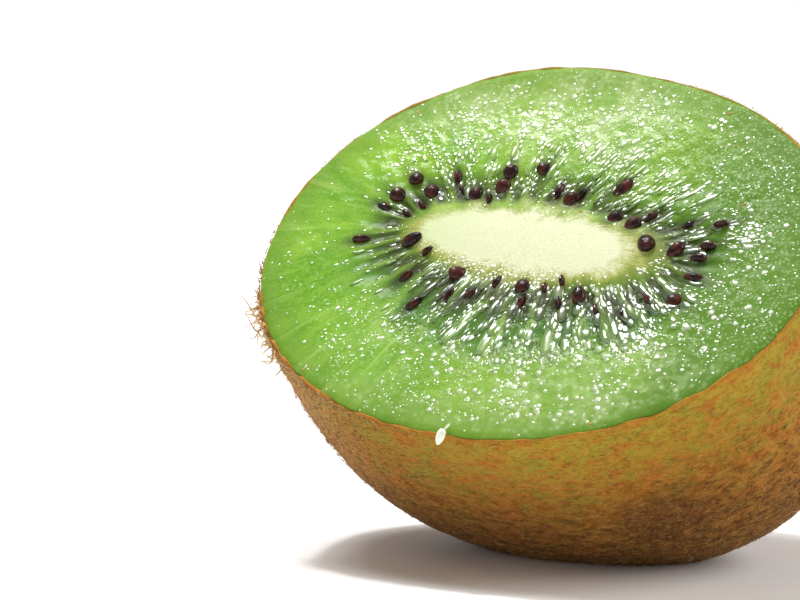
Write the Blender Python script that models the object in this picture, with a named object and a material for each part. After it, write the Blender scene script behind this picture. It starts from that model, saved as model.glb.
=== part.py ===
"""Half of a kiwi fruit, cut across, at real size in metres with +Z up and resting on z = 0.

The half is one solid. Its cut face looks up and towards -Y, its skin bulges a little
below the cut, and its blunt end points down and back. It lies on a small flat spot, which
soft fruit presses into its skin. The fruit is a flat one, so its section is an oval and
the core is a long one. Points on the face are first found in the fruit's own frame, which
has x along the oval's long axis, y along its short axis and z along the fruit's axis,
out of the cut.
"""

import math

import bmesh
import bpy
from mathutils import Matrix, Vector

# The oval section at the cut.
HALF_WIDTH = 0.0270
HALF_THICKNESS = 0.0208
SECTION_POWER = 2.1  # 2 is an ellipse, and more is squarer
SQUARER_AT_END = 0.2  # added to the power at the blunt end
LOPSIDED_WIDE = -0.04  # share by which the +x side stands out more than the -x side
LOPSIDED_THIN = -0.02

# The fruit below the cut.
DEPTH = 0.0328  # from the cut to the blunt end
WIDEST_DEPTH = 0.0078
SIDE_POWER = 2.56  # how long the sides stay full before they turn in
END_POWER = 2.11  # how blunt the end is
END_SHIFT = 0.0014  # the blunt end lies off the axis, towards +y

# The end's button: a dimple with a small nub in it.
DIMPLE_DEPTH = 0.0007
DIMPLE_RADIUS = 0.0034
NUB_HEIGHT = 0.0009
NUB_RADIUS = 0.0012

# The core, a long pale oval.
CORE_CENTRE = (-0.0013, 0.0003)
CORE_HALF_LENGTH = 0.0126
CORE_HALF_THICKNESS = 0.0033
CORE_RISE = 0.00025

# The seed chambers, which stand round the core like spokes.
CHAMBERS = 36
CHAMBER_END = 0.46  # share of the way from the core to the skin
CHAMBER_SINK = 0.00035
RIM_ROUND = 0.0009  # width of the flesh that rounds down to the skin
RIM_DROP = 0.0003

# How the half lies.
FACE_ELEVATION = math.radians(42.5)  # of the face's normal above the table
FACE_ROLL = math.radians(-8.2)  # of the oval's long axis in the plane of the cut
FACE_CENTRE = Vector((0.0013, -0.0084, 0.0280))

# Mesh density.
TURNS = 3 * CHAMBERS
CORE_RINGS = (0.4, 0.75, 0.94)
FLESH_RINGS = (0.0, 0.05, 0.12, 0.2, 0.28, 0.36, 0.43, 0.5, 0.62, 0.74, 0.84, 0.92, 0.97, 1.0)
SKIN_RINGS = 21
END_RING_RADII = (0.0042, 0.0030, 0.0021, 0.0014, 0.0007)

FLESH = ("kiwi_flesh", (0.27, 0.46, 0.05), 0.25)
CORE = ("kiwi_core", (0.80, 0.83, 0.48), 0.45)
SKIN = ("kiwi_skin", (0.36, 0.18, 0.05), 0.80)


def clear_scene():
    for scene_object in list(bpy.data.objects):
        bpy.data.objects.remove(scene_object)


def make_material(name, colour, roughness):
    material = bpy.data.materials.new(name)
    material.use_nodes = True
    shader = material.node_tree.nodes["Principled BSDF"]
    shader.inputs["Base Color"].default_value = (*colour, 1.0)
    shader.inputs["Roughness"].default_value = roughness
    shader.inputs["Metallic"].default_value = 0.0
    return material


def smooth(low, high, value):
    share = min(1.0, max(0.0, (value - low) / (high - low)))
    return share * share * (3.0 - 2.0 * share)


def signed_power(value, power):
    return math.copysign(abs(value) ** power, value)


def section_point(turn, depth):
    """The skin's place in the section at a depth, before the fruit narrows."""
    power = SECTION_POWER + SQUARER_AT_END * depth / DEPTH
    x = HALF_WIDTH * signed_power(math.cos(turn), 2.0 / power)
    y = HALF_THICKNESS * signed_power(math.sin(turn), 2.0 / power)
    side = math.atan2(y, x)
    swell = 1.0 + LOPSIDED_WIDE * math.cos(side) + LOPSIDED_THIN * math.sin(side)
    return Vector((x * swell, y * swell))


def fullness(depth):
    """How wide the fruit is at a depth, with 1 at its widest."""
    share = abs(depth - WIDEST_DEPTH) / (DEPTH - WIDEST_DEPTH)
    return max(0.0, 1.0 - share**SIDE_POWER) ** (1.0 / END_POWER)


def depth_of_fullness(value):
    return WIDEST_DEPTH + (DEPTH - WIDEST_DEPTH) * (1.0 - value**END_POWER) ** (1.0 / SIDE_POWER)


def button(radius):
    """How far the end's button stands out of the plain blunt end."""
    dimple = -DIMPLE_DEPTH * math.exp(-((radius / DIMPLE_RADIUS) ** 4))
    nub = NUB_HEIGHT * math.exp(-((radius / NUB_RADIUS) ** 2))
    return dimple + nub


def skin_point(turn, depth):
    edge = section_point(turn, depth) * fullness(depth) / fullness(0.0)
    shift = END_SHIFT * (depth / DEPTH) ** 2
    return Vector((edge.x, edge.y + shift, -depth - button(edge.length)))


def core_point(turn, share):
    return Vector(
        (
            CORE_CENTRE[0] + CORE_HALF_LENGTH * math.cos(turn) * share,
            CORE_CENTRE[1] + CORE_HALF_THICKNESS * math.sin(turn) * share,
            CORE_RISE * (1.0 - smooth(0.8, 1.0, share)),
        )
    )


def flesh_point(turn, share):
    """A point a share of the way from the core's edge to the skin, on the wet relief."""
    inner = core_point(turn, 1.0)
    outer = section_point(turn, 0.0)
    spoke = 0.5 - 0.5 * math.cos(turn * CHAMBERS)
    reach = smooth(0.0, 0.1, share) * (1.0 - smooth(CHAMBER_END - 0.16, CHAMBER_END, share))
    flat = Vector((inner.x, inner.y)).lerp(outer, share)
    to_skin = (outer - flat).length
    drop = RIM_DROP * (1.0 - smooth(0.0, RIM_ROUND, to_skin))
    return Vector((flat.x, flat.y, -CHAMBER_SINK * spoke * reach - drop))


def ring(mesh, point_at):
    return [mesh.verts.new(point_at(2.0 * math.pi * i / TURNS)) for i in range(TURNS)]


def bridge(mesh, first, second, material_index):
    for i in range(TURNS):
        j = (i + 1) % TURNS
        face = mesh.faces.new((first[i], second[i], second[j], first[j]))
        face.material_index = material_index


def close(mesh, last, centre, material_index, outward):
    middle = mesh.verts.new(centre)
    for i in range(TURNS):
        j = (i + 1) % TURNS
        corners = (last[i], last[j], middle) if outward else (last[j], last[i], middle)
        mesh.faces.new(corners).material_index = material_index


def skin_depths():
    """Ring depths, closer together towards the end, down to the rings of the button."""
    widest_ring = HALF_WIDTH * fullness(WIDEST_DEPTH) / fullness(0.0)
    last = depth_of_fullness(END_RING_RADII[0] / widest_ring)
    sweep = math.asin(last / DEPTH)
    even = [DEPTH * math.sin(sweep * i / SKIN_RINGS) for i in range(1, SKIN_RINGS + 1)]
    button_rings = [depth_of_fullness(radius / widest_ring) for radius in END_RING_RADII[1:]]
    return [*even, *button_rings]


def build_half():
    mesh = bmesh.new()
    flesh_index, core_index, skin_index = range(3)
    rings = [(ring(mesh, lambda turn, s=share: core_point(turn, s)), core_index) for share in CORE_RINGS]
    close(mesh, rings[0][0], core_point(0.0, 0.0), core_index, outward=True)
    for share in FLESH_RINGS:
        index = flesh_index if share > 0.0 else core_index
        rings.append((ring(mesh, lambda turn, s=share: flesh_point(turn, s)), index))
    for depth in skin_depths():
        rings.append((ring(mesh, lambda turn, d=depth: skin_point(turn, d)), skin_index))
    for (first, _), (second, index) in zip(rings, rings[1:]):
        bridge(mesh, first, second, index)
    close(mesh, rings[-1][0], skin_point(0.0, DEPTH), skin_index, outward=False)
    return mesh


def lay_down(mesh):
    """Turns the half from the fruit's own frame to the way it lies on the table."""
    tip_back = Matrix.Rotation(math.pi / 2.0 - FACE_ELEVATION, 4, "X")
    roll = Matrix.Rotation(FACE_ROLL, 4, "Z")
    mesh.transform(Matrix.Translation(FACE_CENTRE) @ tip_back @ roll)


def press_rest_spot(mesh):
    """Cuts the half off flat at the table."""
    everything = mesh.verts[:] + mesh.edges[:] + mesh.faces[:]
    cut = bmesh.ops.bisect_plane(
        mesh, geom=everything, plane_co=(0, 0, 0), plane_no=(0, 0, -1), clear_outer=True
    )
    outline = [piece for piece in cut["geom_cut"] if isinstance(piece, bmesh.types.BMEdge)]
    spot = bmesh.ops.contextual_create(mesh, geom=outline)["faces"]
    for face in spot:
        face.material_index = 2


def main():
    clear_scene()
    mesh = build_half()
    lay_down(mesh)
    press_rest_spot(mesh)
    bmesh.ops.recalc_face_normals(mesh, faces=mesh.faces)
    data = bpy.data.meshes.new("kiwi_half")
    mesh.to_mesh(data)
    mesh.free()
    for name, colour, roughness in (FLESH, CORE, SKIN):
        data.materials.append(make_material(name, colour, roughness))
    data.shade_smooth()
    data.set_sharp_from_angle(angle=math.radians(40))
    half = bpy.data.objects.new("kiwi_half", data)
    bpy.context.scene.collection.objects.link(half)


main()
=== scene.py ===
"""Looks of half a kiwi fruit: wet flesh with rays and chambers, seeds, juice and furry skin.

Shapes are first made in the fruit's own frame, which has x along the oval's long axis, y
along its short axis and z along the fruit's axis, out of the cut. Each piece is then laid
down with the fruit. On the cut face a place is a turn round the core and a share of the
way out along a spoke: -1 is the core's centre, 0 its edge and 1 the skin.
"""

import math

import bpy
import numpy as np
from mathutils import Matrix, Vector


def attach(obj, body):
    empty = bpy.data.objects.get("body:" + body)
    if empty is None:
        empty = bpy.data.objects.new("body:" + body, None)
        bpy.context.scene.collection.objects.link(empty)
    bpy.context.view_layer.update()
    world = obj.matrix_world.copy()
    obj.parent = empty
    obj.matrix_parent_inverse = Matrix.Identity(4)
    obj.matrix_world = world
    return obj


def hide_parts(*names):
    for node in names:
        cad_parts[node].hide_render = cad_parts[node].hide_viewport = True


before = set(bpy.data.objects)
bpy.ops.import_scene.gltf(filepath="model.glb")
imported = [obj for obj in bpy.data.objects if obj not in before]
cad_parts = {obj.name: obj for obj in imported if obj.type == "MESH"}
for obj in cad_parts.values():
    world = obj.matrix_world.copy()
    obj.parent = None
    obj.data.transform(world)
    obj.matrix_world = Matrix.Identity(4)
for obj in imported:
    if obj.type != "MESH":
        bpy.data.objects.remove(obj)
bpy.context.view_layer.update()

MM = 0.001
TAU = 2.0 * math.pi

# The fruit's form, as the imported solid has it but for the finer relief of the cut.
HALF_WIDTH = 0.0270
HALF_THICKNESS = 0.0208
SECTION_POWER = 2.1
SQUARER_AT_END = 0.2
LOPSIDED_WIDE = -0.04
LOPSIDED_THIN = -0.02
DEPTH = 0.0328
WIDEST_DEPTH = 0.0078
SIDE_POWER = 2.56
END_POWER = 2.11
END_SHIFT = 0.0014
DIMPLE_DEPTH = 0.0007
DIMPLE_RADIUS = 0.0034
NUB_HEIGHT = 0.0009
NUB_RADIUS = 0.0012
CORE_CENTRE = np.array((-0.0013, 0.0003))
CORE_HALF_LENGTH = 0.0126
CORE_HALF_THICKNESS = 0.0033
CORE_RISE = 0.00012
CHAMBERS = 36
CHAMBER_END = 0.46
CHAMBER_END_SWAY = 0.14  # they reach further out below the core than above it
CHAMBER_START = 0.12
CHAMBER_START_SWAY = 0.05
CHAMBER_SINK = 0.00022
RIM_ROUND = 0.0009
RIM_DROP = 0.00015

# How the half lies.
FACE_ELEVATION = math.radians(42.5)
FACE_ROLL = math.radians(-8.2)
FACE_CENTRE = Vector((0.0013, -0.0084, 0.0280))
LAID_DOWN = (
    Matrix.Translation(FACE_CENTRE)
    @ Matrix.Rotation(math.pi / 2.0 - FACE_ELEVATION, 4, "X")
    @ Matrix.Rotation(FACE_ROLL, 4, "Z")
)

# The kinds of seed: length and width in mm, and the turn from the spoke in degrees. A slit is
# a seed on edge or half under the flesh.
SEED_KINDS = {
    "round": (1.65, 1.5, 0.0),
    "plump": (2.05, 1.35, 0.0),
    "large": (2.6, 1.65, 0.0),
    "slim": (1.9, 0.85, 0.0),
    "slit": (1.35, 0.55, 0.0),
    "crosswise": (1.95, 1.25, 60.0),
    "crosswise_back": (2.35, 1.6, -55.0),
}
# The seeds of each kind: for each share of the way out from the core, the turns in degrees.
SEEDS = {
    "round": {
        0.05: (50, 61),
        0.10: (85, 126, 276),
        0.14: (114,),
        0.19: (147,),
        0.24: (112,),
        0.29: (162,),
        0.34: (150, 335),
    },
    "plump": {0.05: (209,), 0.14: (299,)},
    "large": {0.24: (70,)},
    "slim": {0.14: (91,), 0.24: (5, 133, 230, 252), 0.29: (14, 172, 351), 0.34: (196, 243)},
    "slit": {
        0.05: (119, 225, 292),
        0.10: (157, 171, 266, 285),
        0.14: (48, 82, 132),
        0.19: (259, 278, 291),
        0.24: (32, 305, 326),
        0.29: (314,),
        0.40: (25,),
    },
    "crosswise": {0.10: (12,), 0.27: (100,)},
    "crosswise_back": {-0.05: (25,), 0.10: (249,)},
}
SEED_HEIGHT = 1.1 * MM
# Crumbs of skin, laid out as the seeds are.
CRUMB_RINGS = {0.03: (76,), 0.56: (32,), 0.76: (55,), 0.91: (65, 140), 0.95: (236, 300)}

# Where drops of juice stand in clusters: x, y and how far each reaches, in mm.
CLUSTERS = (
    (3.0, 10.0, 1.9),
    (10.0, 7.5, 1.2),
    (18.6, 3.6, 1.4),
    (-18.4, 8.7, 2.2),
    (-1.0, 6.0, 1.2),
    (-6.0, -3.2, 1.6),
    (-15.0, -13.5, 1.2),
)

DARK_PATCH_PLACE = (16.5, -17.2, -12.6)  # the middle of a darker patch of skin, in mm
FLECK_PLACE = (0.85 * MM, -21.25 * MM, -0.05 * MM)
# The fleck's two parts: size, offset, aim and tilt, in mm and degrees.
PULP_FLECK = (
    ((1.45, 0.85, 0.7), (0.0, 0.0, 0.0), 78.0, -30.0),
    ((1.1, 0.2, 0.18), (0.24, 0.75, 0.3), 62.0, -10.0),
)

# The pale pith shows a little shorter than the core's oval.
PITH_CENTRE = np.array((-0.0019, -0.0001))
PITH_HALF_LENGTH = 0.0105
PITH_HALF_THICKNESS = 0.0031
PITH_POWER = 2.5  # 2 is an ellipse, and more is squarer
STREAKS = 130  # round the core, in the relief of the wet flesh


# ---- numbers ----

NOISE_ROWS = 64
NOISE_LIMIT = 2.2  # of the table's numbers, which the smoothing makes smaller


def smooth(low, high, value):
    share = np.clip((value - low) / (high - low), 0.0, 1.0)
    return share * share * (3.0 - 2.0 * share)


def signed_power(value, power):
    return np.sign(value) * np.abs(value) ** power


def spline_weights(step):
    """The shares of four neighbours in a smooth curve, at a step from the second to the third."""
    back = 1.0 - step
    near = (3.0 * step**3 - 6.0 * step**2 + 4.0) / 6.0
    far = (3.0 * back**3 - 6.0 * back**2 + 4.0) / 6.0
    return back**3 / 6.0, near, far, step**3 / 6.0


def noise(seed, across, along, around=64):
    """A smooth random surface of about -1 to 1, which comes round again after `around` across."""
    table = np.random.default_rng(seed).uniform(-NOISE_LIMIT, NOISE_LIMIT, (around, NOISE_ROWS))
    column, row = np.floor(across), np.floor(along)
    columns = spline_weights(across - column)
    rows = spline_weights(along - row)
    column, row = column.astype(int) - 1, row.astype(int) - 1
    total = 0.0
    for i, column_weight in enumerate(columns):
        for j, row_weight in enumerate(rows):
            corner = table[(column + i) % around, (row + j) % NOISE_ROWS]
            total = total + corner * column_weight * row_weight
    return total


def noise_round(seed, turn, waves):
    """Smooth random waves round the fruit."""
    return noise(seed, turn * waves / TAU, 0.0 * turn, waves)


def unit(ways):
    return ways / np.linalg.norm(ways, axis=-1, keepdims=True)


# ---- the fruit's form ----


def section(turn, depth):
    """The skin's place in the section at a depth, before the fruit narrows."""
    power = SECTION_POWER + SQUARER_AT_END * depth / DEPTH
    x = HALF_WIDTH * signed_power(np.cos(turn), 2.0 / power)
    y = HALF_THICKNESS * signed_power(np.sin(turn), 2.0 / power)
    side = np.arctan2(y, x)
    swell = 1.0 + LOPSIDED_WIDE * np.cos(side) + LOPSIDED_THIN * np.sin(side)
    return np.stack((x * swell, y * swell), axis=-1)


def fullness(depth):
    share = np.abs(depth - WIDEST_DEPTH) / (DEPTH - WIDEST_DEPTH)
    return np.maximum(0.0, 1.0 - share**SIDE_POWER) ** (1.0 / END_POWER)


def button(radius):
    dimple = -DIMPLE_DEPTH * np.exp(-((radius / DIMPLE_RADIUS) ** 4))
    return dimple + NUB_HEIGHT * np.exp(-((radius / NUB_RADIUS) ** 2))


def skin_point(turn, depth, inset=0.0):
    """A point on the skin, or a little inside it."""
    turn, depth = np.broadcast_arrays(turn, depth)
    narrower = fullness(depth) / fullness(0.0) * (1.0 - inset / HALF_THICKNESS)
    edge = section(turn, depth) * narrower[..., None]
    radius = np.hypot(edge[..., 0], edge[..., 1])
    shift = END_SHIFT * (depth / DEPTH) ** 2
    z = -depth * (1.0 - inset / DEPTH) - button(radius)
    return np.stack((edge[..., 0], edge[..., 1] + shift, z), axis=-1)


def skin_normal(points):
    """Roughly the way out of the skin, as on an egg."""
    radii = np.array((HALF_WIDTH, HALF_THICKNESS, DEPTH - WIDEST_DEPTH))
    return unit((points - np.array((0.0, 0.0, -WIDEST_DEPTH))) / radii**2)


def laid_down(points):
    """Points of the fruit's own frame, turned and moved to where the fruit lies."""
    return points @ np.array(LAID_DOWN.to_3x3()).T + np.array(FACE_CENTRE)


def press_on_table(points, lowest=0.0):
    """Presses what would go through the table flat, at a height above it."""
    laid = laid_down(points)
    laid[..., 2] = np.maximum(laid[..., 2], lowest)
    return (laid - np.array(FACE_CENTRE)) @ np.array(LAID_DOWN.to_3x3())


# ---- the cut face ----


def core_edge(turn):
    x = CORE_CENTRE[0] + CORE_HALF_LENGTH * np.cos(turn)
    y = CORE_CENTRE[1] + CORE_HALF_THICKNESS * np.sin(turn)
    return np.stack((x, y), axis=-1)


def face_place(turn, share):
    """x and y of a place on the cut face."""
    turn, share = np.broadcast_arrays(turn, share)
    inner = core_edge(turn)
    outer = section(turn, 0.0)
    out = np.maximum(share, 0.0)[..., None]
    into = -np.minimum(share, 0.0)[..., None]
    return inner + (outer - inner) * out + (CORE_CENTRE - inner) * into


def face_mm(turn, share):
    """x and y of a place on the cut face, in millimetres."""
    place = face_place(turn, share) / MM
    return place[..., 0], place[..., 1]


def chamber_count(turn, share):
    """Counts the chambers round the core. They are unevenly wide, and their walls wander."""
    count = turn * CHAMBERS / TAU
    uneven = 0.55 * noise_round(11, turn, CHAMBERS // 2)
    wander = 0.22 * noise(12, count, share * 5.0, CHAMBERS)
    return count + uneven + wander


def chamber(turn, share):
    """1 in the middle of a seed chamber and 0 at its walls."""
    return np.sin(math.pi * chamber_count(turn, share)) ** 2


def chamber_reach(turn, share):
    """1 where there are chambers, which end unevenly."""
    uneven = 0.05 * noise_round(13, turn, CHAMBERS)
    start = CHAMBER_START - CHAMBER_START_SWAY * np.sin(turn)
    end = CHAMBER_END - CHAMBER_END_SWAY * np.sin(turn) + uneven
    return smooth(0.0, 1.0, share / start) * (1.0 - smooth(-0.25, 0.02, share - end))


def bell(turn, centre, width):
    """1 at a turn in degrees, falling to 0 at a width to either side."""
    away = (turn - math.radians(centre) + math.pi) % TAU - math.pi
    return 1.0 - smooth(0.0, math.radians(width), np.abs(away))


def rim_lift(turn):
    """The rim stands a little high in one stretch and is wavy all round."""
    return MM * (0.6 * bell(turn, 109.0, 32.0) + 0.05 * noise_round(14, turn, 60))


def liveliness(turn, share):
    """How rough and juicy the flesh is: most in a ring outside the core, least at the left."""
    x, y = face_mm(turn, share)
    ring = smooth(0.02, 0.16, share) * (1.0 - smooth(0.62, 0.95, share))
    side = smooth(-21.0, -9.0, x + 0.6 * y) * (1.0 - smooth(15.0, 22.0, x))
    patches = smooth(-0.9, 0.7, noise(27, x / 2.0, y / 2.0))
    return ring * side * (0.35 + 0.65 * patches)


def off_pith(turn, share):
    """How many millimetres a place lies outside the pale pith."""
    away = face_place(turn, share) - PITH_CENTRE
    shares = np.abs(away) / np.array((PITH_HALF_LENGTH, PITH_HALF_THICKNESS))
    reach = (shares[..., 0] ** PITH_POWER + shares[..., 1] ** PITH_POWER) ** (1.0 / PITH_POWER)
    return np.hypot(away[..., 0], away[..., 1]) * (1.0 - 1.0 / np.maximum(reach, 0.3)) / MM


def olive_ring(turn, share):
    """The dull yellow flesh just outside the pith, which shows below it and at its right end."""
    x, y = face_mm(turn, share)
    shown = np.maximum(smooth(2.0, -1.0, y), smooth(5.0, 9.0, x))
    return smooth(0.14, 0.0, share) * (0.15 + 0.85 * shown)


def pale_grain_and_glint(turn, share):
    """How thickly pale grains and painted highlights stand in the flesh: at the top and in a band along the
    bottom.
    """
    x, y = face_mm(turn, share)
    top = smooth(6.0, 14.0, y + 0.1 * x) * (1.0 - 0.85 * smooth(-3.0, 9.0, x))
    bottom = smooth(-6.0, -12.0, y) * smooth(-20.0, -8.0, x)
    patches = smooth(-0.8, 0.8, noise(28, x / 1.7, y / 1.7))
    bottom = bottom * (0.3 + 0.5 * smooth(-2.0, 12.0, x))
    return np.maximum(top, bottom) * (0.4 + 0.6 * patches) * (1.0 - smooth(0.9, 1.0, share))


def painted_right_shade(turn, share):
    """How much painted shade darkens the flesh: towards the right, and a little along the bottom."""
    x, y = face_mm(turn, share)
    lower = smooth(-4.0, -10.0, y) * smooth(19.0, 11.0, x)
    at_right = 0.9 * smooth(-1.0, 19.0, x) * (1.0 - 0.75 * lower)
    bottom = 0.3 * smooth(-8.0, -12.0, y) * smooth(-11.0, -4.0, x)
    return np.maximum(at_right, bottom)


def speckle(turn, share):
    """How thickly fine grains stand: only towards the rim, and most at the right."""
    x, y = face_mm(turn, share)
    return smooth(-2.0, 12.0, x + 0.5 * y) * smooth(-16.0, -4.0, y) * smooth(0.3, 0.55, share)


def near_seeds(share):
    """1 in the ring of flesh where the seeds are, and a little outside them."""
    return smooth(0.03, 0.16, share) * (1.0 - smooth(0.40, 0.62, share))


def wetness(turn, share):
    """How much clear juice covers the flesh, which is drier at the core, the rim, the bottom and
    the right."""
    x, y = face_mm(turn, share)
    drier = 0.7 * smooth(-2.0, 12.0, x) * smooth(6.0, 15.0, y) + 0.7 * smooth(5.0, 14.0, x)
    inside = 0.06 + 0.94 * smooth(0.05, 0.20, share)
    in_ring = 0.3 - 0.1 * near_seeds(share)
    bottom = 1.0 - 0.7 * smooth(-9.0, -13.0, y)
    return inside * in_ring * bottom * (1.0 - smooth(0.65, 0.93, share)) * (1.0 - np.minimum(drier, 0.85))


def relief(turn, share):
    """How high the wet surface of the cut stands at a place."""
    turn, share = np.broadcast_arrays(turn, share)
    x, y = face_mm(turn, share)
    to_skin = np.linalg.norm(section(turn, 0.0) - face_place(turn, share), axis=-1)
    live = 0.25 + 0.75 * liveliness(turn, share)
    in_ring = near_seeds(share)
    across = turn * STREAKS / TAU
    broad = 0.04 * MM * noise(21, x / 4.0, y / 4.0)
    streaks = 0.05 * MM * noise(22, across, share * 8.0, STREAKS) * in_ring * live
    blobs = 0.04 * MM * noise(26, across, share * 24.0, STREAKS) * in_ring * live
    grains = 0.068 * MM * noise(24, x / 0.48, y / 0.48) * live * smooth(0.02, 0.2, share)
    depth = 0.7 + 0.3 * chamber(turn, share)
    sunk = -CHAMBER_SINK * depth * chamber_reach(turn, share)
    rise = CORE_RISE * smooth(-0.2, 0.8, -share)
    drop = -RIM_DROP * (1.0 - smooth(0.0, RIM_ROUND, to_skin))
    lift = rim_lift(turn) * smooth(0.65, 1.0, share)
    return broad + streaks + blobs + grains * (1.0 - 0.5 * in_ring) + sunk + rise + drop + lift


def face_point(turn, share):
    turn, share = np.broadcast_arrays(turn, share)
    return np.concatenate((face_place(turn, share), relief(turn, share)[..., None]), axis=-1)


def spots(rings):
    """The turn and share of each spot in some rings."""
    return [(math.radians(turn), share) for share, turns in rings.items() for turn in turns]


def spoke_at(turn, share):
    """The way out along the spoke at a place, as a unit vector."""
    way = face_place(turn, share + 0.05) - face_place(turn, share)
    return way / np.linalg.norm(way)


def seed_shade(turn, share):
    """How dark the clear flesh is over and beside the seeds, drawn out along the spokes."""
    place = face_place(turn, share)
    shade = np.zeros(place.shape[:-1])
    for kind, rings in SEEDS.items():
        wider = 0.5 + 0.25 * SEED_KINDS[kind][1]
        for seed_turn, seed_share in spots(rings):
            spoke = spoke_at(seed_turn, seed_share)
            away = place - face_place(seed_turn, seed_share)
            along = away @ spoke
            beside = away @ np.array((-spoke[1], spoke[0]))
            reach = np.where(along > 0.0, 2.0 * MM, 1.5 * MM)
            near = np.exp(-((along / reach) ** 2) - (beside / (wider * MM)) ** 2)
            shade = np.maximum(shade, near)
    return shade


# ---- meshes ----


def turns_of(count):
    return np.arange(count) * TAU / count


def between(first, first_count, second, second_count):
    """Faces between two rings of points. One may have twice as many as the other."""
    if first_count > second_count:
        flipped = between(second, second_count, first, first_count)
        return [np.roll(group[:, ::-1], -1, axis=1) for group in flipped]
    i = np.arange(first_count)
    j = (i + 1) % first_count
    if first_count == second_count:
        return [np.stack((first + i, second + i, second + j, first + j), axis=1)]
    a, b, c, d = first + i, first + j, second + 2 * i, second + 2 * i + 1
    e = second + (2 * i + 2) % second_count
    return [np.stack((a, c, d), 1), np.stack((a, d, b), 1), np.stack((b, d, e), 1)]


def closed_by_rings(rings, first_centre, last_centre):
    """Points and faces of a body made of rings, from one centre point to another."""
    points = np.concatenate([first_centre[None], *rings, last_centre[None]])
    starts = np.cumsum([1] + [len(ring) for ring in rings])
    faces = []
    for k in range(len(rings) - 1):
        faces += between(starts[k], len(rings[k]), starts[k + 1], len(rings[k + 1]))
    i = np.arange(len(rings[0]))
    faces.append(np.stack((0 * i, starts[0] + i, starts[0] + (i + 1) % len(i)), axis=1))
    i = np.arange(len(rings[-1]))
    last = starts[-2]
    faces.append(np.stack((last + (i + 1) % len(i), last + i, 0 * i + len(points) - 1), axis=1))
    return points, faces


def in_scene(name, data):
    """A new object, put into the scene."""
    thing = bpy.data.objects.new(name, data)
    bpy.context.scene.collection.objects.link(thing)
    return thing


def make_piece(name, points, faces, material, marks=None):
    """A mesh object laid down with the fruit. Marks are numbers kept at each point, such as its
    place in the fruit's own frame in millimetres."""
    data = bpy.data.meshes.new(name)
    corners = np.concatenate([group.ravel() for group in faces])
    sizes = np.concatenate([np.full(len(group), group.shape[1]) for group in faces])
    starts = np.concatenate(([0], np.cumsum(sizes)[:-1]))
    data.vertices.add(len(points))
    data.vertices.foreach_set("co", laid_down(points).astype(np.float32).ravel())
    data.loops.add(len(corners))
    data.loops.foreach_set("vertex_index", corners.astype(np.int32))
    data.polygons.add(len(sizes))
    data.polygons.foreach_set("loop_start", starts.astype(np.int32))
    data.update(calc_edges=True)
    data.validate()
    for mark, values in {"fruit": points / MM, **(marks or {})}.items():
        kind, field = ("FLOAT", "value") if values.ndim == 1 else ("FLOAT_VECTOR", "vector")
        layer = data.attributes.new(mark, kind, "POINT")
        layer.data.foreach_set(field, values.astype(np.float32).ravel())
    data.shade_smooth()
    data.materials.append(material)
    piece = in_scene(name, data)
    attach(piece, "root")
    return piece


def repeated(pattern, faces, count):
    """The faces of a pattern of points that is repeated, one copy after another."""
    offsets = (np.arange(count) * pattern)[:, None, None]
    return [(offsets + group[None]).reshape(-1, group.shape[1]) for group in faces]


NOT_ALONG_HAIRS = np.array((0.31, 0.52, 0.79))  # a way that hardly any hair points


def strands(lines, radii):
    """Points and faces of joined hairs with three sides, each from its root to a sharp tip."""
    count, steps, _ = lines.shape
    along = unit(np.gradient(lines, axis=1))
    across = unit(np.cross(along, NOT_ALONG_HAIRS))
    up = np.cross(along, across)
    angle = turns_of(3)
    around = across[:, :-1, None] * np.cos(angle)[:, None] + up[:, :-1, None] * np.sin(angle)[:, None]
    rings = lines[:, :-1, None] + around * radii[:, :-1, None, None]
    points = np.concatenate((rings.reshape(count, -1, 3), lines[:, -1:]), axis=1)
    faces = [np.array([[2, 1, 0]])]
    for k in range(steps - 2):
        low, high = 3 * k, 3 * k + 3
        faces.append(np.array([[low + i, low + (i + 1) % 3, high + (i + 1) % 3, high + i] for i in range(3)]))
    last, tip = 3 * (steps - 2), 3 * (steps - 1)
    faces.append(np.array([[last + i, last + (i + 1) % 3, tip] for i in range(3)]))
    return points.reshape(-1, 3), repeated(tip + 1, faces, count)


# ---- materials ----

# Linear colours of the flesh between the core and the rim.
DEEP_GREEN = (0.11, 0.31, 0.007)
FRESH_GREEN = (0.23, 0.46, 0.020)
THIN_RAY = (0.33, 0.54, 0.06)
BLOTCH = (0.09, 0.28, 0.010)
GRAIN = (0.34, 0.52, 0.10)
LONG_RAY = (0.42, 0.60, 0.14)
# Pale grains and painted highlights, as the pale clumps and dots below are.
PALE_FLESH_AND_GLINT = (0.48, 0.60, 0.26)
RIM_FLESH = (0.14, 0.26, 0.035)
# Painted shade, which darkens the flesh towards the right.
PAINTED_SHADE_GREEN = (0.09, 0.20, 0.02)
PALE_CLUMP_AND_GLINT = (0.50, 0.64, 0.30)
PALE_DOT_AND_GLINT = (0.62, 0.72, 0.42)
SPECK = (0.42, 0.52, 0.24)
DARK_CHAMBER = (0.018, 0.030, 0.006)
CLEAR_CHAMBER = (0.075, 0.11, 0.02)
OUTER_CHAMBER = (0.07, 0.19, 0.018)
FIBRE = (0.20, 0.32, 0.07)
CHAMBER_WALL = (0.24, 0.38, 0.07)
SEED_SHADE = (0.020, 0.022, 0.008)
# Of the core.
OLIVE_RING = (0.20, 0.24, 0.05)
PITH_HALO = (0.42, 0.44, 0.12)
PITH_GREEN = (0.58, 0.63, 0.36)
PITH_CREAM = (0.76, 0.76, 0.54)
PITH_GRAIN = (0.76, 0.77, 0.54)
PITH_LEFT = (0.58, 0.69, 0.36)
# Of the small things on the cut.
# Pale drops: partly pulp, partly painted highlight.
PULP_AND_GLINT_JUICE = (0.72, 0.80, 0.56)
SEED_BLACK = (0.006, 0.001, 0.0005)
SEED_BROWN = (0.075, 0.012, 0.003)
PULP_GREEN = (0.78, 0.82, 0.60)
PULP_WHITE = (0.95, 0.95, 0.86)
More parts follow.
